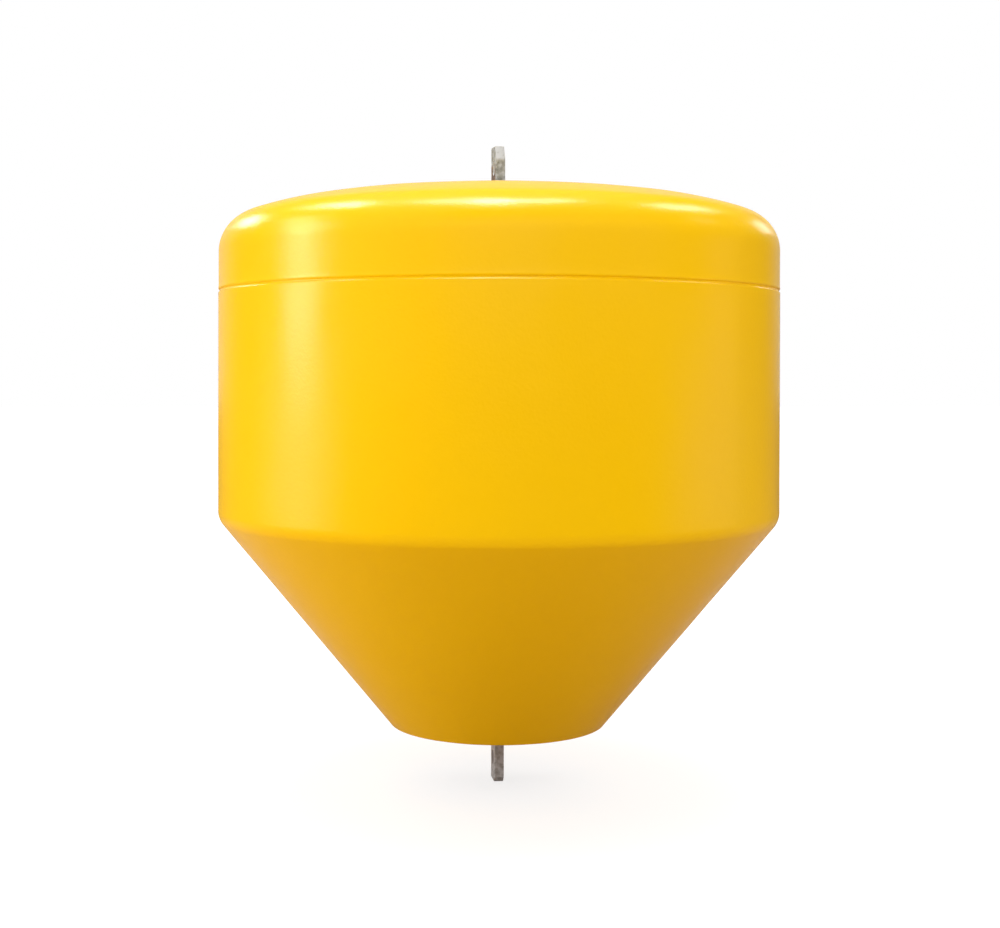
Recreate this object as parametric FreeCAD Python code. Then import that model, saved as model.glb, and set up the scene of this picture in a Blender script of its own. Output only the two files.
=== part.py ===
import FreeCAD, Part
import math
import os

from FreeCAD import Vector

# A steel-barred mooring buoy: a foam-filled float in two mouldings, with one
# flat bar straight through it that ends in a shackle eye above and below.
# Millimetres. +Z is up along the axis, the shackle eyes run along X, and the
# origin is on the axis at the service waterline.

# Float
float_diameter = 900.0
side_height = 422.5              # top edge of the cone up to the start of the rim radius
parting_below_rim = 61.5         # start of the rim radius down to the parting plane
rim_radius = 64.5
rim_turn = 71.8                  # degrees that the rim radius turns
brow_radius = 544.0              # softer radius between the rim and the dished top
brow_turn = 11.1                 # degrees that the brow turns
cone_height = 336.5
base_diameter = 345.0
waist_radius = 34.0              # between the straight wall and the cone
base_edge_radius = 5.0
lip_width = 4.6                  # height of each lip of the parting groove
lip_depth = 2.2
waterline_above_cone = 75.0

# Through bar
bar_width = 40.0
bar_thickness = 16.0
top_lug_height = 73.2            # crown's highest point up to the bar's end
bottom_lug_depth = 95.0          # base down to the bar's end
top_bevel_height = 22.5          # long bevel down the front of the upper end
top_bevel_depth = 10.0
bottom_front_cut = 8.0           # 45-degree cuts off the other corners of the two ends
back_corner_cut = 3.0
arris_radius = 2.0
eye_diameter = 24.0
eye_from_end = 36.0              # bar's end to the eye's centre
slot_clearance = 1.5             # between the bar and the mouldings or the top plate
slot_corner_radius = 2.5

# Top plate in its pocket, and the pin above it
top_plate_diameter = 150.0
top_plate_thickness = 8.0
pocket_depth = 10.0              # below the crown's highest point
pocket_clearance = 5.0           # between the plate's rim and the pocket's wall
pocket_edge_radius = 3.0
pin_diameter = 12.0
pin_overhang = 24.0              # past each face of the bar
pin_clearance = 0.3              # in its hole, and above the top plate
pin_chamfer = 1.5
split_pin_diameter = 4.0
split_pin_from_end = 7.0

# Bottom plate, welded to the bar
bottom_plate_diameter = 200.0
bottom_plate_thickness = 10.0
weld_gap = 0.2
plate_edge_radius = 1.5

# Foam filling hole and its plug
filler_offset = 250.0            # from the axis, towards the back
filler_thread_diameter = 40.0
filler_thread_depth = 26.0
filler_flange_diameter = 58.0
filler_flange_thickness = 4.0
filler_seat_depth = 2.0
filler_clearance = 0.4
key_slot_length = 34.0
key_slot_width = 6.0
key_slot_depth = 2.5

cut_margin = 1.0                 # how far a cutting tool reaches past what it cuts
same = 1e-4                      # lengths closer than this are the same

# Heights and radii worked out from the sizes above
float_radius = float_diameter / 2
base_radius = base_diameter / 2
cone_top_z = -waterline_above_cone
rim_z = cone_top_z + side_height
parting_z = rim_z - parting_below_rim
base_z = cone_top_z - cone_height
cone_lean = math.degrees(math.atan2(float_radius - base_radius, cone_height))
up = Vector(0, 0, 1)


def profile_point(radius, height):
    return Vector(radius, 0, height)


def on_circle(centre, radius, degrees):
    angle = math.radians(degrees)
    return centre + profile_point(radius * math.cos(angle), radius * math.sin(angle))


def arc(centre, radius, start, end):
    points = [on_circle(centre, radius, a) for a in (start, (start + end) / 2, end)]
    return Part.Arc(*points).toShape()


def line(start, end):
    return Part.LineSegment(start, end).toShape()


def turned(edges):
    # A closed half section, its edges in order, spun about the axis.
    return Part.Face(Part.Wire(edges)).revolve(Vector(0, 0, 0), up, 360)


# The crown's three tangent arcs: rim, brow, and the dished top that closes on the axis.
rim_centre = profile_point(float_radius - rim_radius, rim_z)
rim_end = on_circle(rim_centre, rim_radius, rim_turn)
brow_centre = on_circle(rim_end, -brow_radius, rim_turn)
brow_end_angle = rim_turn + brow_turn
brow_end = on_circle(brow_centre, brow_radius, brow_end_angle)
dish_radius = brow_end.x / math.cos(math.radians(brow_end_angle))
dish_centre = on_circle(brow_end, -dish_radius, brow_end_angle)
apex_z = dish_centre.z + dish_radius
bar_top_z = apex_z + top_lug_height
bar_bottom_z = base_z - bottom_lug_depth
pocket_floor_z = apex_z - pocket_depth
top_plate_top_z = pocket_floor_z + top_plate_thickness
pin_z = top_plate_top_z + pin_clearance + pin_diameter / 2
filler_tilt = math.degrees(math.asin(filler_offset / dish_radius))
filler_seat_z = dish_centre.z + dish_radius * math.cos(math.radians(filler_tilt))
filler_seat = Vector(0, filler_offset, filler_seat_z)

# Each lip leaves the wall tangentially and curves in to the parting plane.
lip_radius = (lip_width ** 2 + lip_depth ** 2) / (2 * lip_depth)
lip_turn = math.degrees(math.asin(lip_width / lip_radius))


def upright_block(size_x, size_y, low, high, corner_radius):
    block = Part.makeBox(size_x, size_y, high - low, Vector(-size_x / 2, -size_y / 2, low))
    corners = [e for e in block.Edges if abs(e.Vertexes[0].Z - e.Vertexes[1].Z) > 0.5 * (high - low)]
    return block.makeFillet(corner_radius, corners)


def bar_slot(low, high, clearance, corner_radius):
    size_x = bar_thickness + 2 * clearance
    size_y = bar_width + 2 * clearance
    return upright_block(size_x, size_y, low - cut_margin, high + cut_margin, corner_radius)


def round_edges(solid, radius, wanted):
    return solid.makeFillet(radius, [e for e in solid.Edges if wanted(e)])


def is_circle(edge, radius, height):
    curve = edge.Curve
    if not isinstance(curve, Part.Circle):
        return False
    return abs(curve.Radius - radius) < same and abs(curve.Center.z - height) < same


def tangent_lip(pocket_radius):
    # Centre of the edge radius between the pocket's wall and the dished top.
    across = pocket_radius + pocket_edge_radius
    height = math.sqrt((dish_radius - pocket_edge_radius) ** 2 - across ** 2)
    return profile_point(across, dish_centre.z + height)


def build_crown():
    lip_centre = profile_point(float_radius - lip_radius, parting_z + lip_width)
    foot = on_circle(lip_centre, lip_radius, -lip_turn)
    pocket_radius = top_plate_diameter / 2 + pocket_clearance
    pocket_lip = tangent_lip(pocket_radius)
    pocket_lip_start = math.degrees(math.atan2(pocket_lip.z - dish_centre.z, pocket_lip.x))
    pocket_corner = profile_point(pocket_radius, pocket_floor_z)
    axis_low = profile_point(0, parting_z)
    axis_high = profile_point(0, pocket_floor_z)
    crown = turned([
        line(axis_low, foot),
        arc(lip_centre, lip_radius, -lip_turn, 0),
        line(profile_point(float_radius, lip_centre.z), profile_point(float_radius, rim_z)),
        arc(rim_centre, rim_radius, 0, rim_turn),
        arc(brow_centre, brow_radius, rim_turn, brow_end_angle),
        arc(dish_centre, dish_radius, brow_end_angle, pocket_lip_start),
        arc(pocket_lip, pocket_edge_radius, pocket_lip_start, 180),
        line(profile_point(pocket_radius, pocket_lip.z), pocket_corner),
        line(pocket_corner, axis_high),
        line(axis_high, axis_low),
    ])
    crown = crown.cut(bar_slot(parting_z, apex_z, slot_clearance, slot_corner_radius))
    return crown.cut(filler_hole())


def build_hull():
    lip_centre = profile_point(float_radius - lip_radius, parting_z - lip_width)
    waist_tangent = waist_radius * math.tan(math.radians(cone_lean / 2))
    waist_centre = profile_point(float_radius - waist_radius, cone_top_z + waist_tangent)
    base_tangent = base_edge_radius * math.tan(math.radians((90 - cone_lean) / 2))
    base_edge_centre = profile_point(base_radius - base_tangent, base_z + base_edge_radius)
    axis_low = profile_point(0, base_z)
    axis_high = profile_point(0, parting_z)
    hull = turned([
        line(axis_high, on_circle(lip_centre, lip_radius, lip_turn)),
        arc(lip_centre, lip_radius, lip_turn, 0),
        line(profile_point(float_radius, lip_centre.z), profile_point(float_radius, waist_centre.z)),
        arc(waist_centre, waist_radius, 0, -cone_lean),
        line(on_circle(waist_centre, waist_radius, -cone_lean),
             on_circle(base_edge_centre, base_edge_radius, -cone_lean)),
        arc(base_edge_centre, base_edge_radius, -cone_lean, -90),
        line(profile_point(base_edge_centre.x, base_z), axis_low),
        line(axis_low, axis_high),
    ])
    return hull.cut(bar_slot(base_z, parting_z, slot_clearance, slot_corner_radius))


def build_through_bar():
    back = bar_width / 2
    outline = [
        (-back + bottom_front_cut, bar_bottom_z), (back - back_corner_cut, bar_bottom_z),
        (back, bar_bottom_z + back_corner_cut), (back, bar_top_z - back_corner_cut),
        (back - back_corner_cut, bar_top_z), (-back + top_bevel_depth, bar_top_z),
        (-back, bar_top_z - top_bevel_height), (-back, bar_bottom_z + bottom_front_cut),
    ]
    corners = [Vector(-bar_thickness / 2, y, z) for y, z in outline]
    face = Part.Face(Part.makePolygon(corners + corners[:1]))
    bar = face.extrude(Vector(bar_thickness, 0, 0))
    bar = round_edges(bar, arris_radius, lambda e: abs(e.Vertexes[0].X - e.Vertexes[1].X) < same)
    hole_length = bar_thickness + 2 * cut_margin
    for height in (bar_top_z - eye_from_end, bar_bottom_z + eye_from_end):
        bar = bar.cut(cross_rod(eye_diameter, hole_length, height))
    return bar.cut(cross_rod(pin_diameter + 2 * pin_clearance, hole_length, pin_z))


def cross_rod(diameter, length, height):
    return Part.makeCylinder(diameter / 2, length, Vector(-length / 2, 0, height), Vector(1, 0, 0))


def build_plate(diameter, thickness, low, slot):
    plate = Part.makeCylinder(diameter / 2, thickness, profile_point(0, low))
    plate = round_edges(plate, plate_edge_radius, lambda e: isinstance(e.Curve, Part.Circle))
    return plate.cut(slot)


def build_top_plate():
    slot = bar_slot(pocket_floor_z, top_plate_top_z, slot_clearance, slot_corner_radius)
    return build_plate(top_plate_diameter, top_plate_thickness, pocket_floor_z, slot)


def build_bottom_plate():
    low = base_z - bottom_plate_thickness
    slot = bar_slot(low, base_z, weld_gap, arris_radius)
    return build_plate(bottom_plate_diameter, bottom_plate_thickness, low, slot)


def build_retaining_pin():
    length = bar_thickness + 2 * pin_overhang
    pin = cross_rod(pin_diameter, length, pin_z)
    ends = [e for e in pin.Edges if isinstance(e.Curve, Part.Circle)]
    pin = pin.makeChamfer(pin_chamfer, ends)
    for side in (-1, 1):
        start = Vector(side * (length / 2 - split_pin_from_end), -pin_diameter, pin_z)
        pin = pin.cut(Part.makeCylinder(split_pin_diameter / 2, 2 * pin_diameter, start, Vector(0, 1, 0)))
    return pin


def on_filler_seat(solid):
    # From the plug's own frame, its seat at z = 0, to its place on the dished top.
    placed = solid.copy()
    placed.rotate(Vector(0, 0, 0), Vector(-1, 0, 0), filler_tilt)
    placed.translate(filler_seat)
    return placed


def filler_hole():
    seat_radius = filler_flange_diameter / 2 + filler_clearance
    bore_radius = filler_thread_diameter / 2 + filler_clearance
    bore_depth = filler_seat_depth + filler_thread_depth + filler_clearance
    seat = Part.makeCylinder(seat_radius, 2 * filler_flange_thickness, profile_point(0, -filler_seat_depth))
    bore = Part.makeCylinder(bore_radius, bore_depth, profile_point(0, -bore_depth))
    return on_filler_seat(seat.fuse(bore))


def build_filler_plug():
    flange_top = filler_flange_thickness - filler_seat_depth
    flange = Part.makeCylinder(filler_flange_diameter / 2, filler_flange_thickness,
                               profile_point(0, -filler_seat_depth))
    flange = round_edges(flange, plate_edge_radius,
                         lambda e: is_circle(e, filler_flange_diameter / 2, flange_top))
    thread = Part.makeCylinder(filler_thread_diameter / 2, filler_thread_depth,
                               profile_point(0, -filler_seat_depth - filler_thread_depth))
    plug = flange.fuse(thread).removeSplitter()
    for size_x, size_y in ((key_slot_length, key_slot_width), (key_slot_width, key_slot_length)):
        corner = Vector(-size_x / 2, -size_y / 2, flange_top - key_slot_depth)
        plug = plug.cut(Part.makeBox(size_x, size_y, 2 * key_slot_depth, corner))
    return on_filler_seat(plug)


builders = {
    "crown": build_crown,
    "hull": build_hull,
    "through_bar": build_through_bar,
    "top_plate": build_top_plate,
    "bottom_plate": build_bottom_plate,
    "retaining_pin": build_retaining_pin,
    "filler_plug": build_filler_plug,
}

os.makedirs("parts", exist_ok=True)
for node, build in builders.items():
    shape = build()
    shape.exportStep(f"parts/{node}.step")
    box = shape.BoundBox
    print(f"{node}: {len(shape.Solids)} solid, valid {shape.isValid()}, {shape.Volume / 1e9:.6f} m3,",
          f"area {shape.Area / 1e6:.4f} m2, z {box.ZMin:.1f} to {box.ZMax:.1f}")
print(f"apex {apex_z:.2f}, bar {bar_bottom_z:.2f} to {bar_top_z:.2f}, dish radius {dish_radius:.1f}")
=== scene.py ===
import math
import bmesh
import bpy
from mathutils import Matrix, Vector, noise


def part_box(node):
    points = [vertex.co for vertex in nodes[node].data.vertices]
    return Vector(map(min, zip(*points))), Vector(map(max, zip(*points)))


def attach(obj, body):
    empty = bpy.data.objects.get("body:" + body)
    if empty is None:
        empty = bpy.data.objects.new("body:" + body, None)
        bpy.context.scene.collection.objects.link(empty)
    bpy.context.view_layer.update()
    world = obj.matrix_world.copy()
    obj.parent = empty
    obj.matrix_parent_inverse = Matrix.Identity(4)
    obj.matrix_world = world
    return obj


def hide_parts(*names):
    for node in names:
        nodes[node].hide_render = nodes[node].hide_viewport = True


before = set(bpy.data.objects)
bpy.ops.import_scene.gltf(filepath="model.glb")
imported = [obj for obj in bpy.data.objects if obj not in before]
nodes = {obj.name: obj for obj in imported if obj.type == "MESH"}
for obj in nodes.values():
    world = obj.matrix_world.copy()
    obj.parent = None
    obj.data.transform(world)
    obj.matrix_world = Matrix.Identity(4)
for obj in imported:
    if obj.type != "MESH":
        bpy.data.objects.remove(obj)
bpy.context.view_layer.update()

# Foam-filled mooring buoy: the float's two mouldings, the bar with its small fittings, the studio.
# Metres. Z is up along the axis, the front faces -Y and Z = 0 is the service waterline.

mm = 0.001
cutTolerance = 1e-7
mergeDistance = 1e-6
scene = bpy.context.scene

crownLow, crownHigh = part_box("crown")
hullLow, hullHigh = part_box("hull")
barLow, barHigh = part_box("through_bar")
topPlateLow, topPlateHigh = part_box("top_plate")
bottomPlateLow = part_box("bottom_plate")[0]
pinLow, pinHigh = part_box("retaining_pin")
plugLow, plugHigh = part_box("filler_plug")


# Small steps of node work that every finish uses.
def addNode(tree, kind, inputs=None, **settings):
    node = tree.nodes.new(kind)
    for name, value in settings.items():
        setattr(node, name, value)
    for name, value in (inputs or {}).items():
        setSocket(tree, node.inputs[name], value)
    return node


def setSocket(tree, socket, value):
    if isinstance(value, bpy.types.NodeSocket):
        tree.links.new(value, socket)
    else:
        socket.default_value = value


def mathNode(tree, operation, first, second=0.0, third=0.0, clamp=False):
    inputs = {0: first, 1: second, 2: third}
    return addNode(tree, "ShaderNodeMath", inputs, operation=operation, use_clamp=clamp).outputs[0]


def remap(tree, value, low, high, toLow=0.0, toHigh=1.0):
    inputs = {"Value": value, "From Min": low, "From Max": high, "To Min": toLow, "To Max": toHigh}
    return addNode(tree, "ShaderNodeMapRange", inputs, interpolation_type="SMOOTHSTEP").outputs["Result"]


def mixColour(tree, factor, first, second):
    # Sockets 6 and 7 are a Mix node's colours, which share their names with its other kinds of input.
    node = addNode(tree, "ShaderNodeMix", data_type="RGBA")
    factorSocket, firstSocket, secondSocket = node.inputs[0], node.inputs[6], node.inputs[7]
    setSocket(tree, factorSocket, factor)
    setSocket(tree, firstSocket, first)
    setSocket(tree, secondSocket, second)
    return node.outputs[2]


def noiseMask(tree, coords, scale, detail=2.0, roughness=0.5):
    inputs = {"Vector": coords, "Scale": scale, "Detail": detail, "Roughness": roughness}
    return addNode(tree, "ShaderNodeTexNoise", inputs).outputs["Fac"]


def newGroup(name, inputs, outputs):
    group = bpy.data.node_groups.new(name, "ShaderNodeTree")
    kinds = {"value": "NodeSocketFloat", "vector": "NodeSocketVector"}
    for label, kind, default in inputs:
        socket = group.interface.new_socket(label, in_out="INPUT", socket_type=kinds[kind])
        socket.default_value = default
    for label in outputs:
        group.interface.new_socket(label, in_out="OUTPUT", socket_type=kinds["value"])
    return group, group.nodes.new("NodeGroupInput").outputs, group.nodes.new("NodeGroupOutput").inputs


def useGroup(tree, group, inputs):
    return addNode(tree, "ShaderNodeGroup", inputs, node_tree=group).outputs


def newMaterial(name):
    material = bpy.data.materials.new(name)
    material.use_nodes = True
    tree = material.node_tree
    coords = addNode(tree, "ShaderNodeTexCoord").outputs["Object"]
    return material, tree, tree.nodes["Principled BSDF"], coords


def makeMottleGroup():
    # Slow light and dark patches, from -1 to 1 times Amount, and the mask behind them, from 0 to 1.
    group, inputs, outputs = newGroup(
        "slowMottle",
        [("Vector", "vector", (0, 0, 0)), ("Scale", "value", 5.0), ("Amount", "value", 0.1)],
        ["Offset", "Mask"])
    patches = noiseMask(group, inputs["Vector"], inputs["Scale"], detail=3.0, roughness=0.55)
    mask = remap(group, patches, low=0.3, high=0.7)
    signed = mathNode(group, "MULTIPLY_ADD", mask, 2.0, -1.0)
    group.links.new(mathNode(group, "MULTIPLY", signed, inputs["Amount"]), outputs["Offset"])
    group.links.new(mask, outputs["Mask"])
    return group


def makeGrainGroup():
    # Unevenness of a moulded or dipped surface at two sizes, as a height in metres.
    group, inputs, outputs = newGroup(
        "surfaceGrain",
        [("Vector", "vector", (0, 0, 0)),
         ("Coarse Size", "value", 0.004), ("Coarse Height", "value", 0.00001),
         ("Fine Size", "value", 0.001), ("Fine Height", "value", 0.000002)],
        ["Height"])
    heights = []
    for layer in ("Coarse", "Fine"):
        scale = mathNode(group, "DIVIDE", 1.0, inputs[f"{layer} Size"])
        bumps = noiseMask(group, inputs["Vector"], scale, detail=1.0)
        heights.append(mathNode(group, "MULTIPLY", bumps, inputs[f"{layer} Height"]))
    group.links.new(mathNode(group, "ADD", *heights), outputs["Height"])
    return group


mottle = makeMottleGroup()
grain = makeGrainGroup()


def addBump(tree, shader, coords, spec):
    fine = useGroup(tree, grain, {
        "Vector": coords, "Coarse Size": spec["coarseSize"], "Coarse Height": spec["coarseHeight"],
        "Fine Size": spec["fineSize"], "Fine Height": spec["fineHeight"]})
    bump = addNode(tree, "ShaderNodeBump", {"Height": fine["Height"], "Distance": 1.0, "Strength": 1.0})
    tree.links.new(bump.outputs["Normal"], shader.inputs["Normal"])


barShape = {
    "arris": 1.6 * mm,
    "bevelHeight": 22.5 * mm,    # long bevel down the front of the upper end
    "bevelDepth": 10 * mm,
    "endSlant": 1.5 * mm,        # how far the upper end falls towards the front
    "bottomFrontCut": 8 * mm,    # 45-degree cuts off the other corners of the two ends
    "backCut": 3 * mm,
    "eyeRadius": 12 * mm,
    "eyeFromEnd": 36 * mm,
    "eyeFlare": 1.2 * mm,        # eased mouths of the eyes, and how deep they are
    "pinHole": 6.3 * mm,
    "loopSpacing": 3 * mm,       # between the loops that carry the bar's unevenness
    "wear": 0.3 * mm,            # depth and size of the unevenness; the bias keeps it mostly inwards
    "wearSize": 14 * mm,
    "wearBias": 0.6,
    "inset": 0.02 * mm,
    "offset": 0.4 * mm,          # how far out of true the bar stands, within its slot
    "lean": 0.0011,
    "twist": 2.9,                # degrees per metre
}


floatSkin = {
    "colour": (0.93, 0.55, 0.0006, 1),
    "deepColour": (0.90, 0.505, 0.0005, 1),  # where the pigment lies thicker
    "tonePatch": 3.0,                        # patches per metre
    "toneAmount": 0.12,
    "roughness": 0.24,
    "roughPatch": 14.0,
    "roughnessSpread": 0.02,
    "specular": 0.14,
    "coarseSize": 6 * mm,
    "coarseHeight": 0.2 * mm,
    "fineSize": 3.2 * mm,
    "fineHeight": 0.16 * mm,
}


def makeFloatSkin(spec):
    material, tree, shader, coords = newMaterial("mouldedYellowPolyethylene")
    tone = useGroup(tree, mottle, {
        "Vector": coords, "Scale": spec["tonePatch"], "Amount": spec["toneAmount"]})
    thick = mathNode(tree, "ADD", tone["Offset"], spec["toneAmount"], clamp=True)
    tree.links.new(mixColour(tree, thick, spec["colour"], spec["deepColour"]), shader.inputs["Base Color"])
    wear = useGroup(tree, mottle, {
        "Vector": coords, "Scale": spec["roughPatch"], "Amount": spec["roughnessSpread"]})
    rough = mathNode(tree, "ADD", wear["Offset"], spec["roughness"], clamp=True)
    tree.links.new(rough, shader.inputs["Roughness"])
    shader.inputs["Specular IOR Level"].default_value = spec["specular"]
    addBump(tree, shader, coords, spec)
    return material


zinc = {
    "light": (0.66, 0.675, 0.68, 1),
    "dark": (0.155, 0.16, 0.12, 1),
    "rust": (0.24, 0.105, 0.03, 1),
    "oldRust": (0.09, 0.045, 0.02, 1),
    "spangle": 7 * mm,
    "flakeContrast": 0.30,
    "cloudPatch": 140.0,
    "cloudContrast": 0.28,
    "lowerTone": 0.66,           # base tone of the lower lug and of the upper one, 0 dark to 1 light
    "upperTone": 0.36,
    "paintedLightTone": 0.65,            # painted light, added over the upper lug's end, apart from its -X face, and at both eyes
    "bevelHighlightBelow": 3 * mm,         # the painted highlight starts this far below the bevel's foot and is full this far above it
    "bevelHighlightAbove": 4 * mm,
    "eyeLightStart": 0.5 * mm,    # painted light of an eye is full out to this far from its wall, and gone at the next
    "eyeLightEnd": 2.5 * mm,
    "rustPatch": 45.0,
    "rustRise": 62 * mm,         # how far up the bar the rust climbs from the top plate
    "plateRust": 0.15,           # added rust where the bar leaves the top plate
    "tipRust": -0.2,             # the same at the lower lug's tip, and from its root upwards
    "footRust": -0.12,
    "sideRust": 0.5,             # added rust on the bar's -X face, which fades out below the bevel
    "sideRustFade": 14 * mm,
    "sideDepth": 1.5 * mm,       # how far the -X face's own look reaches into the bar
    "sideReach": 3 * mm,         # and how far off the bar it ends
    "arrisStart": 1.5 * mm,      # the front arris keeps clear of that look
    "arrisEnd": 3.5 * mm,
    "rustStart": 0.58,           # where in the stains rust starts and is full, and how much it covers
    "rustFull": 0.82,
    "rustCover": 0.9,
    "oldRustStart": 0.85,
    "oldRustFull": 1.05,
    "metallic": 0.35,
    "rustMetallic": 0.02,
    "mattCover": 0.6,            # share of rust from which the surface is as dull as rust
    "roughness": 0.40,
    "dullest": 0.60,
    "coarseSize": 2.5 * mm,
    "coarseHeight": 0.09 * mm,
    "fineSize": 0.8 * mm,
    "fineHeight": 0.012 * mm,
}
plateZinc = {
    **zinc,
    "flakeContrast": 0.12,
    "cloudPatch": 45.0,
    "cloudContrast": 0.14,
    "sideRust": 0.0,
}


def eyeLightMask(tree, place, height, spec):
    # 1 inside a shackle eye and round its mouth, 0 a little way off; it paints light into the eye, which
    # lies in shade.
    rise = mathNode(tree, "SUBTRACT", place["Z"], height)
    offset = addNode(tree, "ShaderNodeCombineXYZ", {"Y": place["Y"], "Z": rise}).outputs[0]
    reach = addNode(tree, "ShaderNodeVectorMath", {0: offset}, operation="LENGTH").outputs["Value"]
    wall = barShape["eyeRadius"]
    return remap(tree, reach, wall + spec["eyeLightStart"], wall + spec["eyeLightEnd"], 1.0, 0.0)


def sideMask(tree, place, spec):
    # 1 on the bar's -X face, apart from its front arris.
    shade = remap(tree, place["X"], barLow.x, barLow.x + spec["sideDepth"], 1.0, 0.0)
    onBar = remap(tree, place["X"], barLow.x - spec["sideReach"], barLow.x - mm)
    behindArris = remap(tree, place["Y"], barLow.y + spec["arrisStart"], barLow.y + spec["arrisEnd"])
    return mathNode(tree, "MULTIPLY", shade, mathNode(tree, "MULTIPLY", onBar, behindArris))


def zincTone(tree, coords, place, side, spec):
    crystals = addNode(tree, "ShaderNodeTexVoronoi", {"Vector": coords, "Scale": 1 / spec["spangle"]})
    flake = addNode(tree, "ShaderNodeSeparateColor", {"Color": crystals.outputs["Color"]}).outputs["Red"]
    cloud = useGroup(tree, mottle, {
        "Vector": coords, "Scale": spec["cloudPatch"], "Amount": spec["cloudContrast"]})
    level = remap(tree, place["Z"], bottomPlateLow.z, topPlateHigh.z, spec["lowerTone"], spec["upperTone"])
    cutStart = barHigh.z - barShape["bevelHeight"]
    # Painted highlight: the upper lug's end, where its bevel faces the overhead light, is drawn lighter,
    # apart from its -X face.
    bevelHighlight = remap(tree, place["Z"], cutStart - spec["bevelHighlightBelow"], cutStart + spec["bevelHighlightAbove"])
    wearAndPaintedLight = mathNode(tree, "MULTIPLY", bevelHighlight, mathNode(tree, "SUBTRACT", 1.0, side))
    # Painted light inside both eyes, which lie in shade.
    for height in (barHigh.z - barShape["eyeFromEnd"], barLow.z + barShape["eyeFromEnd"]):
        wearAndPaintedLight = mathNode(tree, "MAXIMUM", wearAndPaintedLight, eyeLightMask(tree, place, height, spec))
    tone = mathNode(tree, "MULTIPLY_ADD", flake, spec["flakeContrast"], cloud["Offset"])
    tone = mathNode(tree, "MULTIPLY_ADD", wearAndPaintedLight, spec["paintedLightTone"], tone)
    return mathNode(tree, "ADD", tone, level, clamp=True)


def rustCreep(tree, coords, place, side, spec):
    # Rust climbs from the top plate, further on the -X face; the lower lug has less.
    plateTop = topPlateHigh.z
    plateUnder = bottomPlateLow.z
    cutStart = barHigh.z - barShape["bevelHeight"]
    rise = remap(tree, place["Z"], plateTop, plateTop + spec["rustRise"], spec["plateRust"], 0.0)
    foot = remap(tree, place["Z"], plateUnder - spec["rustRise"], plateUnder,
                 spec["tipRust"], spec["footRust"])
    sideRise = remap(tree, place["Z"], cutStart - spec["sideRustFade"], cutStart, spec["sideRust"], 0.0)
    upper = remap(tree, place["Z"], 0.0, plateTop)
    sideRust = mathNode(tree, "MULTIPLY", mathNode(tree, "MULTIPLY", side, sideRise), upper)
    stains = noiseMask(tree, coords, spec["rustPatch"], detail=5.0, roughness=0.6)
    ends = mathNode(tree, "ADD", rise, foot)
    return mathNode(tree, "ADD", ends, mathNode(tree, "ADD", sideRust, stains))


def makeZinc(name, spec):
    material, tree, shader, coords = newMaterial(name)
    place = addNode(tree, "ShaderNodeSeparateXYZ", {0: coords}).outputs
    side = sideMask(tree, place, spec)
    tone = zincTone(tree, coords, place, side, spec)
    metal = mixColour(tree, tone, spec["dark"], spec["light"])
    creep = rustCreep(tree, coords, place, side, spec)
    rustMask = remap(tree, creep, spec["rustStart"], spec["rustFull"], 0.0, spec["rustCover"])
    oldMask = remap(tree, creep, spec["oldRustStart"], spec["oldRustFull"])
    rusty = mixColour(tree, oldMask, spec["rust"], spec["oldRust"])
    tree.links.new(mixColour(tree, rustMask, metal, rusty), shader.inputs["Base Color"])
    metallic = remap(tree, rustMask, 0.0, spec["mattCover"], spec["metallic"], spec["rustMetallic"])
    tree.links.new(metallic, shader.inputs["Metallic"])
    rough = remap(tree, tone, 0.0, 1.0, spec["dullest"], spec["roughness"])
    tree.links.new(rough, shader.inputs["Roughness"])
    addBump(tree, shader, coords, spec)
    return material


plugPlastic = {
    "colour": (0.035, 0.035, 0.04, 1),
    "wearAndPaintedLight": (0.075, 0.075, 0.08, 1),
    "patch": 90.0,
    "roughness": 0.55,
    "roughnessSpread": 0.1,
    "coarseSize": 1.5 * mm,
    "coarseHeight": 0.03 * mm,
    "fineSize": 0.5 * mm,
    "fineHeight": 0.01 * mm,
}


def makePlugPlastic(spec):
    material, tree, shader, coords = newMaterial("mattBlackPlastic")
    tone = useGroup(tree, mottle, {
        "Vector": coords, "Scale": spec["patch"], "Amount": spec["roughnessSpread"]})
    tree.links.new(mixColour(tree, tone["Mask"], spec["colour"], spec["wearAndPaintedLight"]), shader.inputs["Base Color"])
    rough = mathNode(tree, "ADD", tone["Offset"], spec["roughness"], clamp=True)
    tree.links.new(rough, shader.inputs["Roughness"])
    addBump(tree, shader, coords, spec)
    return material


yellowSkin = makeFloatSkin(floatSkin)
zincFinish = makeZinc("galvanisedSteel", zinc)
plateFinish = makeZinc("galvanisedPlate", plateZinc)
blackPlastic = makePlugPlastic(plugPlastic)
print("finishes made")


# Small steps of shaping that several pieces use.
def sliceMesh(bm, point, normal, clearOuter=False):
    bmesh.ops.bisect_plane(bm, geom=bm.verts[:] + bm.edges[:] + bm.faces[:], dist=cutTolerance,
                           plane_co=point, plane_no=normal, clear_outer=clearOuter)


def drawLine(bm, start, x, z, parts=1):
    # A straight stretch of a half section, in equal parts.
    first = start.co.copy()
    for part in range(1, parts + 1):
        start = bmesh.ops.extrude_vert_indiv(bm, verts=[start])["verts"][0]
        start.co = first.lerp(Vector((x, 0, z)), part / parts)
    return start


def drawArc(bm, start, centre, degrees, steps):
    # A round stretch, turned about its centre; positive from +X towards +Z.
    turned = bmesh.ops.spin(bm, geom=[start], cent=(centre[0], 0, centre[1]), axis=(0, -1, 0),
                            angle=math.radians(degrees), steps=steps)
    return turned["geom_last"][0]


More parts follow.
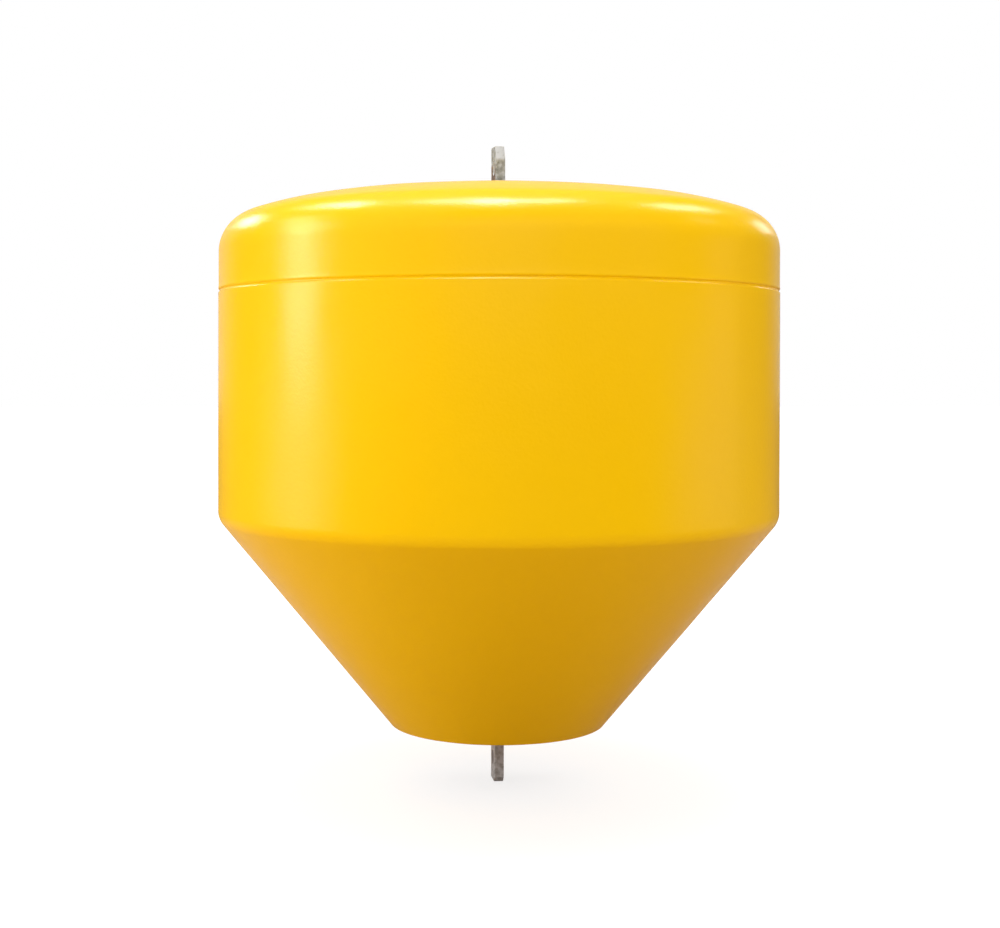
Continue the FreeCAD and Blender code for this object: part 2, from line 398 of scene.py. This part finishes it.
def turnSection(bm, segments):
    # Spins a half section a full turn about the axis and closes its poles.
    bmesh.ops.spin(bm, geom=bm.verts[:] + bm.edges[:], cent=(0, 0, 0), axis=(0, 0, 1),
                   angle=2 * math.pi, steps=segments, use_merge=True)
    bmesh.ops.remove_doubles(bm, verts=bm.verts, dist=mergeDistance)
    bmesh.ops.dissolve_degenerate(bm, edges=bm.edges, dist=mergeDistance)
    bmesh.ops.recalc_face_normals(bm, faces=bm.faces)


def makeObject(name, bm, material=None):
    mesh = bpy.data.meshes.new(name)
    bm.to_mesh(mesh)
    bm.free()
    piece = bpy.data.objects.new(name, mesh)
    scene.collection.objects.link(piece)
    if material:
        mesh.materials.append(material)
    return piece


def bakeModifiers(piece):
    shaped = piece.evaluated_get(bpy.context.evaluated_depsgraph_get())
    mesh = bpy.data.meshes.new_from_object(shaped)
    piece.modifiers.clear()
    piece.data = mesh


def cutAway(piece, cutter):
    # Takes the cutter's shape out of the piece and removes the cutter.
    modifier = piece.modifiers.new("cut", "BOOLEAN")
    modifier.operation = "DIFFERENCE"
    modifier.solver = "EXACT"
    modifier.object = cutter
    bakeModifiers(piece)
    bpy.data.objects.remove(cutter)


def smoothPiece(piece, degrees=30):
    piece.data.shade_smooth()
    piece.data.set_sharp_from_angle(angle=math.radians(degrees))


def placePiece(piece, slot, *replaced):
    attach(piece, "root")
    if replaced:
        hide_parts(*replaced)
    print(f"{piece.name}: {len(piece.data.polygons)} faces")


def bevelEdges(bm, edges, width, steps):
    bmesh.ops.bevel(bm, geom=edges, offset=width, offset_type="OFFSET", segments=steps, profile=0.5,
                    affect="EDGES", material=-1)


def roundedBlock(sizeX, sizeY, low, high, radius, steps=4):
    # An upright block with rounded corner edges.
    bm = bmesh.new()
    bmesh.ops.create_cube(bm, size=1)
    bmesh.ops.scale(bm, vec=(sizeX, sizeY, high - low), verts=bm.verts)
    bmesh.ops.translate(bm, vec=(0, 0, (low + high) / 2), verts=bm.verts)
    uprights = [e for e in bm.edges if abs(e.verts[0].co.z - e.verts[1].co.z) > (high - low) / 2]
    bevelEdges(bm, uprights, radius, steps)
    return bm


def roundCutter(radius, length, centre, axis, segments=64, flare=0.0, flareDepth=0.0):
    # A round tool; with a flare it also eases both mouths of the hole that it cuts.
    bm = bmesh.new()
    bmesh.ops.create_cone(bm, cap_ends=True, segments=segments, radius1=radius, radius2=radius,
                          depth=length)
    if flare:
        widening = (radius + flare) / radius
        for side in (-1, 1):
            rim = [v for v in bm.verts if v.co.z * side > length / 2 - flareDepth / 2]
            sliceMesh(bm, (0, 0, side * (length / 2 - flareDepth)), (0, 0, side))
            bmesh.ops.scale(bm, vec=(widening, widening, 1), verts=rim)
    turn = Vector((0, 0, 1)).rotation_difference(Vector(axis)).to_matrix()
    bmesh.ops.rotate(bm, cent=(0, 0, 0), matrix=turn, verts=bm.verts)
    bmesh.ops.translate(bm, vec=centre, verts=bm.verts)
    return makeObject("roundCutter", bm)


floatShape = {
    "segments": 240,
    "inset": 0.35 * mm,          # nominal skin inside the measured size, so that the waves stay within it
    "waveHeight": 0.3 * mm,
    "waveSize": 0.11,
    "slowGain": 1.2,             # lets the slow waves reach their full height
    "quickWave": 0.3,            # size and height of the quicker waves, as shares of the slow ones
    "quickPlace": (7, 3, 5),     # where in the noise the quicker waves are read
    "rimRadius": 64.5 * mm,
    "rimTurn": 71.8,             # degrees
    "browRadius": 544 * mm,
    "browTurn": 11.1,
    "sideHeight": 422.5 * mm,    # top of the cone up to the start of the rim
    "coneTop": -75 * mm,
    "baseRadius": 172.5 * mm,    # where the cone would meet the base without its edge radius
    "waistRadius": 34 * mm,
    "baseEdgeRadius": 5 * mm,
    "crownStep": 0.5 * mm,       # the crown's wall stands back from the hull's
    "lipDepth": 2.2 * mm,        # depth of the groove
    "crownLipWidth": 3.2 * mm,   # height of the crown's round lip above the parting
    "grooveFloor": 1.2 * mm,     # upright bottom of the groove, on the hull
    "ledgeRise": 40,             # degrees that the hull's ledge faces upwards
    "ledgeEdge": 1.5 * mm,       # radius between the ledge and the wall
    "flare": 0.4 * mm,           # the crown's wall swells out again just above its lip
    "flareHeight": 4 * mm,
    "pocketRadius": 80 * mm,
    "pocketEdge": 3 * mm,
    "slotClearance": 1.5 * mm,
    "slotCorner": 2.5 * mm,
    "cutPast": 2 * mm,           # how far a slot's tool reaches past the faces that it opens
}

fillerSeat = {
    "offset": 250 * mm,
    "clearance": 0.4 * mm,
    "depth": 2 * mm,
    "bore": 20.4 * mm,
    "boreDepth": 28.4 * mm,
    "reach": 8 * mm,             # how far the cutting tools stand above the seat
}


def waveSkin(bm, spec):
    # Moulded skins draw in unevenly as they cool; the flat meeting faces stay flat.
    bm.normal_update()
    parting = crownLow.z
    for vert in bm.verts:
        slow = noise.noise(vert.co / spec["waveSize"])
        quick = noise.noise(vert.co / (spec["quickWave"] * spec["waveSize"]) + Vector(spec["quickPlace"]))
        wave = max(-1.0, min(1.0, spec["slowGain"] * slow + spec["quickWave"] * quick))
        move = vert.normal * (spec["waveHeight"] * wave - spec["inset"])
        if abs(vert.co.z - parting) < mergeDistance:
            outward = Vector((vert.co.x, vert.co.y, 0))
            move = outward.normalized() * -spec["inset"] if outward.length > mergeDistance else Vector()
        vert.co += move


def lipArc(width, depth):
    # Radius of a lip, and the degrees that it turns between the wall and the parting plane.
    radius = (width ** 2 + depth ** 2) / (2 * depth)
    return radius, math.degrees(math.asin(width / radius))


def cutSlot(piece, spec, low, high):
    wide = barHigh.x - barLow.x + 2 * spec["slotClearance"]
    deep = barHigh.y - barLow.y + 2 * spec["slotClearance"]
    cutAway(piece, makeObject("slotCutter", roundedBlock(wide, deep, low, high, spec["slotCorner"])))


def cutFillerHole(crown, spec, dishRadius, dishCentre):
    # The filler's seat is square to the dished top, where the plug's flange sits.
    lean = math.asin(spec["offset"] / dishRadius)
    seat = Vector((0, spec["offset"], dishCentre + dishRadius * math.cos(lean)))
    outward = Vector((0, math.sin(lean), math.cos(lean)))
    seatRadius = (plugHigh.x - plugLow.x) / 2 + spec["clearance"]
    for radius, depth in ((seatRadius, spec["depth"]), (spec["bore"], spec["boreDepth"])):
        centre = seat + outward * (spec["reach"] - depth) / 2
        cutAway(crown, roundCutter(radius, spec["reach"] + depth, centre, outward, segments=96))


def makeCrown(spec):
    bm = bmesh.new()
    outer = crownHigh.x - spec["crownStep"]
    parting = crownLow.z
    rimStart = spec["coneTop"] + spec["sideHeight"]
    flared = outer + spec["flare"]
    flareStart = parting + spec["crownLipWidth"]
    lipRadius, lipTurn = lipArc(spec["crownLipWidth"], spec["lipDepth"] - (crownHigh.x - flared))
    pocketFloor = topPlateLow.z
    foot = bm.verts.new((crownHigh.x - spec["lipDepth"], 0, parting))
    drawLine(bm, foot, 0, parting, parts=6)
    pen = drawArc(bm, foot, (flared - lipRadius, flareStart), lipTurn, steps=8)
    pen = drawLine(bm, pen, outer, flareStart + spec["flareHeight"], parts=3)
    pen = drawLine(bm, pen, outer, rimStart, parts=5)
    pen = drawArc(bm, pen, (outer - spec["rimRadius"], rimStart), spec["rimTurn"], steps=26)
    tilt = math.radians(spec["rimTurn"])
    browX = pen.co.x - spec["browRadius"] * math.cos(tilt)
    browZ = pen.co.z - spec["browRadius"] * math.sin(tilt)
    pen = drawArc(bm, pen, (browX, browZ), spec["browTurn"], steps=10)
    tilt += math.radians(spec["browTurn"])
    dishRadius = pen.co.x / math.cos(tilt)
    dishCentre = pen.co.z - dishRadius * math.sin(tilt)
    lipX = spec["pocketRadius"] + spec["pocketEdge"]
    lipZ = dishCentre + math.sqrt((dishRadius - spec["pocketEdge"]) ** 2 - lipX ** 2)
    lipStart = math.degrees(math.atan2(lipZ - dishCentre, lipX))
    pen = drawArc(bm, pen, (0, dishCentre), lipStart - math.degrees(tilt), steps=22)
    pen = drawArc(bm, pen, (lipX, lipZ), 180 - lipStart, steps=8)
    pen = drawLine(bm, pen, spec["pocketRadius"], pocketFloor)
    drawLine(bm, pen, 0, pocketFloor, parts=4)
    turnSection(bm, spec["segments"])
    waveSkin(bm, spec)
    crown = makeObject("crownMoulding", bm, yellowSkin)
    cutSlot(crown, spec, parting - spec["cutPast"], pocketFloor + spec["cutPast"])
    cutFillerHole(crown, fillerSeat, dishRadius, dishCentre)
    smoothPiece(crown)
    placePiece(crown, "float_skin", "crown")
    return crown


def makeHull(spec):
    bm = bmesh.new()
    outer = hullHigh.x
    parting = hullHigh.z
    base = hullLow.z
    coneLean = math.atan2(outer - spec["baseRadius"], spec["coneTop"] - base)
    waistTangent = spec["waistRadius"] * math.tan(coneLean / 2)
    baseTangent = spec["baseEdgeRadius"] * math.tan((math.pi / 2 - coneLean) / 2)
    waistCentre = (outer - spec["waistRadius"], spec["coneTop"] + waistTangent)
    edgeX = spec["baseRadius"] - baseTangent
    edgeZ = base + spec["baseEdgeRadius"]
    coneEndX = edgeX + spec["baseEdgeRadius"] * math.cos(coneLean)
    coneEndZ = edgeZ - spec["baseEdgeRadius"] * math.sin(coneLean)
    foot = bm.verts.new((outer - spec["lipDepth"], 0, parting))
    drawLine(bm, foot, 0, parting, parts=6)
    lipTop = parting - spec["grooveFloor"]
    rise = math.radians(spec["ledgeRise"])
    ledgeX = outer - spec["ledgeEdge"] * (1 - math.cos(rise))
    ledgeZ = lipTop - (ledgeX - outer + spec["lipDepth"]) / math.tan(rise)
    edgeCentre = (outer - spec["ledgeEdge"], ledgeZ - spec["ledgeEdge"] * math.sin(rise))
    pen = drawLine(bm, foot, outer - spec["lipDepth"], lipTop)
    pen = drawLine(bm, pen, ledgeX, ledgeZ, parts=3)
    pen = drawArc(bm, pen, edgeCentre, -spec["ledgeRise"], steps=6)
    pen = drawLine(bm, pen, outer, waistCentre[1], parts=22)
    pen = drawArc(bm, pen, waistCentre, -math.degrees(coneLean), steps=14)
    pen = drawLine(bm, pen, coneEndX, coneEndZ, parts=26)
    pen = drawArc(bm, pen, (edgeX, edgeZ), math.degrees(coneLean) - 90, steps=8)
    drawLine(bm, pen, 0, base, parts=10)
    turnSection(bm, spec["segments"])
    waveSkin(bm, spec)
    hull = makeObject("hullMoulding", bm, yellowSkin)
    cutSlot(hull, spec, base - spec["cutPast"], parting + spec["cutPast"])
    smoothPiece(hull)
    placePiece(hull, "float_skin", "hull")
    return hull


floatPieces = [makeCrown(floatShape), makeHull(floatShape)]
print("float made")


def cutCorner(bm, side, end, across, along):
    # Takes a corner off one end of the bar: this much of the end, and this much of the narrow side.
    tip = barHigh.z if end > 0 else barLow.z
    sliceMesh(bm, (0, side * barHigh.y, tip - end * along), (0, side * along, end * across),
              clearOuter=True)
    bmesh.ops.holes_fill(bm, edges=[e for e in bm.edges if e.is_boundary])


def makeBar(spec):
    half = barHigh.y
    thick = barHigh.x - barLow.x
    bm = bmesh.new()
    bmesh.ops.create_cube(bm, size=1)
    bmesh.ops.scale(bm, vec=(thick, 2 * half, barHigh.z - barLow.z), verts=bm.verts)
    bmesh.ops.translate(bm, vec=(0, 0, (barHigh.z + barLow.z) / 2), verts=bm.verts)
    cutCorner(bm, -1, 1, 2 * half, spec["endSlant"])
    cutCorner(bm, -1, 1, spec["bevelDepth"], spec["bevelHeight"])
    cutCorner(bm, -1, -1, spec["bottomFrontCut"], spec["bottomFrontCut"])
    cutCorner(bm, 1, 1, spec["backCut"], spec["backCut"])
    cutCorner(bm, 1, -1, spec["backCut"], spec["backCut"])
    faceEdges = [e for e in bm.edges if abs(e.verts[0].co.x - e.verts[1].co.x) < mm]
    bevelEdges(bm, faceEdges, spec["arris"], steps=3)
    # Loops across both lugs, where the unevenness shows.
    for low, high in ((barLow.z, bottomPlateLow.z), (topPlateLow.z, barHigh.z)):
        steps = int((high - low) / spec["loopSpacing"])
        for step in range(1, steps):
            sliceMesh(bm, (0, 0, low + step * (high - low) / steps), (0, 0, 1))
    steps = int(2 * half / spec["loopSpacing"])
    for step in range(1, steps):
        sliceMesh(bm, (0, -half + step * 2 * half / steps, 0), (0, 1, 0))
    bmesh.ops.recalc_face_normals(bm, faces=bm.faces)
    bm.normal_update()
    for vert in bm.verts:
        dent = noise.noise(vert.co / spec["wearSize"]) - spec["wearBias"]
        vert.co += vert.normal * (spec["wear"] * max(-1.0, dent) / 2 - spec["inset"])
        turn = Matrix.Rotation(math.radians(spec["twist"]) * vert.co.z, 3, "Z")
        vert.co = turn @ vert.co + Vector((spec["offset"] - spec["lean"] * vert.co.z, 0, 0))
    bar = makeObject("throughBar", bm, zincFinish)
    overhang = mm
    length = thick + 2 * overhang
    for height in (barHigh.z - spec["eyeFromEnd"], barLow.z + spec["eyeFromEnd"]):
        cutAway(bar, roundCutter(spec["eyeRadius"], length, (0, 0, height), (1, 0, 0), segments=72,
                                 flare=spec["eyeFlare"], flareDepth=spec["eyeFlare"] + overhang))
    pinHeight = (pinLow.z + pinHigh.z) / 2
    cutAway(bar, roundCutter(spec["pinHole"], length, (0, 0, pinHeight), (1, 0, 0), segments=48))
    smoothPiece(bar, degrees=35)
    placePiece(bar, "galvanised_steel", "through_bar")
    return bar


def wireObject(name, points, diameter, closed=False, steps=3):
    # A round wire along a smooth route, as a mesh.
    curve = bpy.data.curves.new(name, "CURVE")
    curve.dimensions = "3D"
    curve.bevel_depth = diameter / 2
    curve.bevel_resolution = steps
    curve.use_fill_caps = True
    curve.resolution_u = 6
    spline = curve.splines.new("NURBS")
    spline.points.add(len(points) - 1)
    for place, point in zip(spline.points, points):
        place.co = (*point, 1)
    spline.order_u = 3
    spline.use_endpoint_u = not closed
    spline.use_cyclic_u = closed
    drawn = bpy.data.objects.new(name, curve)
    scene.collection.objects.link(drawn)
    shaped = drawn.evaluated_get(bpy.context.evaluated_depsgraph_get())
    mesh = bpy.data.meshes.new_from_object(shaped)
    bpy.data.objects.remove(drawn)
    piece = bpy.data.objects.new(name, mesh)
    scene.collection.objects.link(piece)
    mesh.materials.clear()
    mesh.materials.append(zincFinish)
    return piece


weldShape = {
    "bead": 8.68 * mm,           # width of the bead, half of which stands clear of the corner
    "corner": 2 * mm,            # how far the bead cuts each corner of the bar, and stands off its faces
    "standOff": 0.25 * mm,
    "cornerSteps": 4,
    "pointSpacing": 1 * mm,
    "ripple": 3.2 * mm,          # from one ripple of the bead to the next, along the wide faces
    "rippleHeight": 0.35 * mm,
    "lump": 0.6 * mm,
    "lumpSize": 9 * mm,
}


def weldRoute(spec):
    # Once round the bar, just under the bottom plate.
    level = bottomPlateLow.z
    inward = spec["corner"]
    radius = inward + spec["standOff"]
    corners = []
    for signX, signY, start in ((1, 1, 0), (-1, 1, 90), (-1, -1, 180), (1, -1, 270)):
        centreX = signX * (barHigh.x - inward)
        centreY = signY * (barHigh.y - inward)
        for step in range(spec["cornerSteps"] + 1):
            angle = math.radians(start + 90 * step / spec["cornerSteps"])
            corner = (centreX + radius * math.cos(angle), centreY + radius * math.sin(angle), level)
            corners.append(Vector(corner))
    route = []
    for first, second in zip(corners, corners[1:] + corners[:1]):
        parts = max(1, round((second - first).length / spec["pointSpacing"]))
        route.extend(first.lerp(second, part / parts) for part in range(parts))
    return route


def makeWeld(spec):
    bead = wireObject("plateWeld", weldRoute(spec), spec["bead"], closed=True, steps=4)
    for vert in bead.data.vertices:
        co = vert.co
        onNarrowFace = abs(co.y) > barHigh.y
        along = math.atan2(co.y, co.x) if onNarrowFace else co.y / spec["ripple"] * 2 * math.pi
        wave = math.sin(along) * spec["rippleHeight"] / 2
        lump = noise.noise(co / spec["lumpSize"]) * spec["lump"]
        vert.co = co + vert.normal * (wave + lump)
    smoothPiece(bead, degrees=60)
    placePiece(bead, "galvanised_steel")
    return bead


splitPin = {
    "wire": 1.7 * mm,
    "fromEnd": 7 * mm,
    "eye": 4.2 * mm,             # radius of the head's loop, and the degrees that it is drawn through
    "eyeTurns": range(60, 301, 30),
    "legGap": 0.95 * mm,         # each leg's middle from the hole's middle
    "shortLeg": 9 * mm,          # past the pin
    "longLeg": 12 * mm,
    "spread": 5 * mm,
    # A leg's points from its tip inwards: shares of the spread, of the leg's length and of the gap.
    "legPoints": ((1.0, 0.5, 0.3), (0.6, 0.32, 0.0), (0.0, 0.1, 0.0)),
}


def makeSplitPin(name, spec, side):
    # Head towards the front, legs through the pin's hole and bent apart behind it.
    x = side * (pinHigh.x - spec["fromEnd"])
    z = (pinLow.z + pinHigh.z) / 2
    radius = (pinHigh.z - pinLow.z) / 2
    gap = spec["legGap"]
    legs = []
    for sign, length in ((1, spec["longLeg"]), (-1, spec["shortLeg"])):
        across = side * sign
        leg = [(x + across * (gap + out * spec["spread"]), radius + past * length, z + lift * gap * sign)
               for out, past, lift in spec["legPoints"]]
        leg += [(x + across * gap, 0, z), (x + across * gap, -radius, z)]
        legs.append(leg)
    head = []
    centreY = -radius - spec["eye"] - mm
    for degrees in spec["eyeTurns"]:
        angle = math.radians(degrees)
        head.append((x + side * spec["eye"] * math.sin(angle), centreY + spec["eye"] * math.cos(angle), z))
    points = legs[0] + head + legs[1][::-1]
    pin = wireObject(name, points, spec["wire"])
    smoothPiece(pin, degrees=60)
    placePiece(pin, "galvanised_steel")
    return pin


fittings = [makeBar(barShape), makeWeld(weldShape)]
fittings.append(makeSplitPin("rightSplitPin", splitPin, 1))
fittings.append(makeSplitPin("leftSplitPin", splitPin, -1))
for name in ("top_plate", "bottom_plate", "retaining_pin"):
    nodes[name].material_slots[0].material = plateFinish
    fittings.append(nodes[name])
nodes["filler_plug"].material_slots[0].material = blackPlastic
fittings.append(nodes["filler_plug"])
print("fittings made")


floorSpec = {
    "size": 60.0,
    "colour": (0.41, 0.295, 0.24, 1),
    "shadowShare": 0.32,         # how much of the floor's tone comes from the light on it
    "glow": 0.74,                # what the floor adds near the buoy, and far off, to come out white
    "farGlow": 1.0,
    "nearEdge": 1.0,             # the lamps' light thins out between these distances from the buoy
    "farEdge": 3.5,
    "mirrored": 0.04,            # share of the floor's tone that reflections see
}


def makeFloor(spec):
    bm = bmesh.new()
    bmesh.ops.create_grid(bm, x_segments=1, y_segments=1, size=spec["size"] / 2)
    bmesh.ops.translate(bm, vec=(0, 0, barLow.z), verts=bm.verts)
    material = bpy.data.materials.new("paleFloor")
    material.use_nodes = True
    tree = material.node_tree
    tree.nodes.clear()
    path = addNode(tree, "ShaderNodeLightPath").outputs
    mirrored = mathNode(tree, "ADD", path["Is Glossy Ray"], path["Is Transmission Ray"], clamp=True)
    seen = mathNode(tree, "MULTIPLY_ADD", mirrored, spec["mirrored"], path["Is Camera Ray"], clamp=True)
    spot = addNode(tree, "ShaderNodeTexCoord").outputs["Object"]
    far = addNode(tree, "ShaderNodeVectorMath", {0: spot}, operation="LENGTH").outputs["Value"]
    level = remap(tree, far, spec["nearEdge"], spec["farEdge"], spec["glow"], spec["farGlow"])
    plain = addNode(tree, "ShaderNodeBsdfDiffuse", {"Color": spec["colour"]})
    shaded = addNode(tree, "ShaderNodeBsdfDiffuse", {"Color": (spec["shadowShare"],) * 3 + (1,)})
    glow = addNode(tree, "ShaderNodeEmission", {"Color": (1, 1, 1, 1), "Strength": level})
    white = addNode(tree, "ShaderNodeAddShader", {0: shaded.outputs[0], 1: glow.outputs[0]})
    both = addNode(tree, "ShaderNodeMixShader", {0: seen, 1: plain.outputs[0], 2: white.outputs[0]})
    addNode(tree, "ShaderNodeOutputMaterial", {"Surface": both.outputs[0]})
    makeObject("studioFloor", bm, material)


worldSpec = {
    "white": 1.0,
    "reflectedBackdrop": 0.56,
    "reflectedSides": 0.07,
    "ambient": 0.38,
    "turn": -4.0,                # degrees that the backdrop stands round from +Y; negative is towards +X
    "sidesStart": -0.4,          # cosines off the backdrop's middle, between which each part fades in
    "sidesFull": 0.3,
    "backdropStart": 0.6,
    "backdropFull": 0.95,
}


def makeWorld(spec):
    world = bpy.data.worlds.new("studioWorld")
    scene.world = world
    world.use_nodes = True
    tree = world.node_tree
    tree.nodes.clear()
    path = addNode(tree, "ShaderNodeLightPath").outputs
    mirrored = mathNode(tree, "ADD", path["Is Glossy Ray"], path["Is Transmission Ray"], clamp=True)
    direction = addNode(tree, "ShaderNodeTexCoord").outputs["Generated"]
    turn = math.radians(spec["turn"])
    straight = {0: direction, 1: (-math.sin(turn), math.cos(turn), 0)}
    away = addNode(tree, "ShaderNodeVectorMath", straight, operation="DOT_PRODUCT").outputs["Value"]
    sides = remap(tree, away, spec["sidesStart"], spec["sidesFull"], 0.0, spec["reflectedSides"])
    backdrop = remap(tree, away, spec["backdropStart"], spec["backdropFull"], sides,
                     spec["reflectedBackdrop"])
    mirroredLevel = mathNode(tree, "MULTIPLY", mirrored, backdrop)
    cameraLevel = mathNode(tree, "MULTIPLY", path["Is Camera Ray"], spec["white"])
    shown = mathNode(tree, "ADD", cameraLevel, mirroredLevel)
    seen = mathNode(tree, "ADD", path["Is Camera Ray"], mirrored, clamp=True)
    hidden = mathNode(tree, "SUBTRACT", 1.0, seen)
    level = mathNode(tree, "MULTIPLY_ADD", hidden, spec["ambient"], shown)
    background = addNode(tree, "ShaderNodeBackground", {"Color": (1, 1, 1, 1), "Strength": level})
    addNode(tree, "ShaderNodeOutputWorld", {"Surface": background.outputs[0]})


# Each lamp: azimuth (0 the front, 90 the right) and elevation in degrees, distance, width, height, power.
# The fills light the pieces and aren't mirrored in them; the glints are only seen mirrored.
lampAim = Vector((0, 0, 0.05))
fills = {
    "keyLeft": (-54, 50, 2.6, 1.6, 1.6, 7.5),
    "keyRight": (36, 50, 2.6, 1.6, 1.6, 4),
    "front": (-9, 22, 2.6, 1.9, 1.4, 16.2),
    "frontLeft": (-54, 20, 2.6, 1.9, 1.4, 8.8),
    "frontRight": (36, 20, 2.6, 1.9, 1.4, 7.8),
    "top": (171, 84, 2.6, 2.4, 2.4, 61),
    "lowLeft": (-89, -4, 2.6, 1.7, 0.64, 26),
    "lowRight": (76, -4, 2.6, 1.7, 0.64, 8.5),
    "backLeft": (-162, 20, 2.6, 1.9, 1.4, 21),
    "backRight": (154, 20, 2.6, 1.9, 1.4, 24),
    "leftSide": (-99, 15, 2.6, 1.15, 2.4, 5.8),
    "rightSide": (85, 10, 2.6, 1.15, 1.9, 3.5),
}
skinGlints = {
    "leftFoot": (-86, -6.5, 2.75, 0.68, 0.38, 2),
    "leftLow": (-86, 6.5, 2.75, 0.66, 0.38, 12.5),
    "leftMiddle": (-86, 16.5, 2.8, 0.64, 0.38, 19),
    "leftHigh": (-87.5, 26.5, 2.8, 0.85, 0.42, 19),
    "leftTop": (-96, 35.5, 2.8, 0.6, 0.42, 9.5),
    "leftRim": (-135, 29.5, 2.65, 0.6, 0.38, 10),
    "leftShoulder": (-119.5, 52, 2.7, 0.55, 0.38, 4.5),
    "leftCorner": (-105, 58, 2.75, 0.55, 0.38, 28),
    "overhead": (-15.5, 77.5, 2.8, 0.46, 0.34, 40),
    "overheadLow": (-15.5, 69, 2.8, 0.5, 0.38, 27),
    "overheadLeft": (-56, 72, 2.8, 0.6, 0.38, 18.5),
    "overheadRight": (33.5, 74.5, 2.8, 0.6, 0.38, 24.5),
    "rightCorner": (90.5, 53.5, 2.75, 0.5, 0.42, 11),
    "rightShoulder": (103, 47.5, 2.7, 0.5, 0.42, 6.5),
    "rightTop": (80.5, 34, 2.8, 0.55, 0.38, 2),
    "rightRim": (124, 23, 2.6, 0.34, 0.38, 2.2),
    "rightLow": (79, 7, 2.7, 0.6, 0.5, 0.5),
    "behindHigh": (170.5, 67.5, 2.5, 2.2, 1.0, 1.6),
}
fittingGlints = {
    "sheenLeft": (-88, 15, 2.75, 0.6, 1.6, 9),
    "sheenTop": (-12, 80, 2.75, 1.2, 0.8, 9),
}


def makeLamp(name, spec, use, receivers=None):
    azimuth, elevation, distance, width, height, power = spec
    lamp = bpy.data.lights.new(name, "AREA")
    lamp.shape = "RECTANGLE"
    lamp.size = width
    lamp.size_y = height
    lamp.energy = power
    holder = bpy.data.objects.new(name, lamp)
    across = math.radians(azimuth)
    upward = math.radians(elevation)
    level = math.cos(upward)
    away = Vector((math.sin(across) * level, -math.cos(across) * level, math.sin(upward)))
    holder.location = lampAim + away * distance
    holder.rotation_euler = away.to_track_quat("Z", "Y").to_euler()
    holder.visible_camera = False
    holder.visible_glossy = use == "glint"
    holder.visible_diffuse = use == "fill"
    if receivers:
        holder.light_linking.receiver_collection = receivers
    scene.collection.objects.link(holder)


def gatherPieces(name, pieces):
    # A lamp that is given such a collection lights only the pieces in it.
    group = bpy.data.collections.new(name)
    for piece in pieces:
        group.objects.link(piece)
    return group


makeFloor(floorSpec)
makeWorld(worldSpec)
skinReceivers = gatherPieces("skinReceivers", floatPieces)
fittingReceivers = gatherPieces("fittingReceivers", fittings)
for name, spec in fills.items():
    makeLamp(name, spec, "fill")
for name, spec in skinGlints.items():
    makeLamp(name, spec, "glint", skinReceivers)
for name, spec in fittingGlints.items():
    makeLamp(name, spec, "glint", fittingReceivers)
print("studio made")


cameraSpec = {
    "distance": 2.5782,          # from the buoy's axis
    "height": 0.1512,
    "azimuth": -9.5,             # degrees round from the front; negative is towards -X
    "heading": -1.452,           # degrees that it looks to the right of the axis; negative is to the left
    "tilt": -0.504,              # and above the level; negative is below
    "roll": 0.1285,
    "lens": 57.043,
    "sensor": 36.0,
    "shift": (0.0424, -0.0743),
}


def makeCamera(spec):
    data = bpy.data.cameras.new("studioCamera")
    data.sensor_width = spec["sensor"]
    data.lens = spec["lens"]
    data.shift_x, data.shift_y = spec["shift"]
    camera = bpy.data.objects.new("studioCamera", data)
    bearing = math.radians(spec["azimuth"])
    flat = spec["distance"]
    place = Vector((math.sin(bearing) * flat, -math.cos(bearing) * flat, spec["height"]))
    turn = Matrix.Rotation(bearing - math.radians(spec["heading"]), 4, "Z")
    tilt = Matrix.Rotation(math.radians(90 + spec["tilt"]), 4, "X")
    roll = Matrix.Rotation(math.radians(spec["roll"]), 4, "Z")
    camera.matrix_world = Matrix.Translation(place) @ turn @ tilt @ roll
    scene.collection.objects.link(camera)
    scene.camera = camera


makeCamera(cameraSpec)
scene.view_settings.view_transform = "Standard"
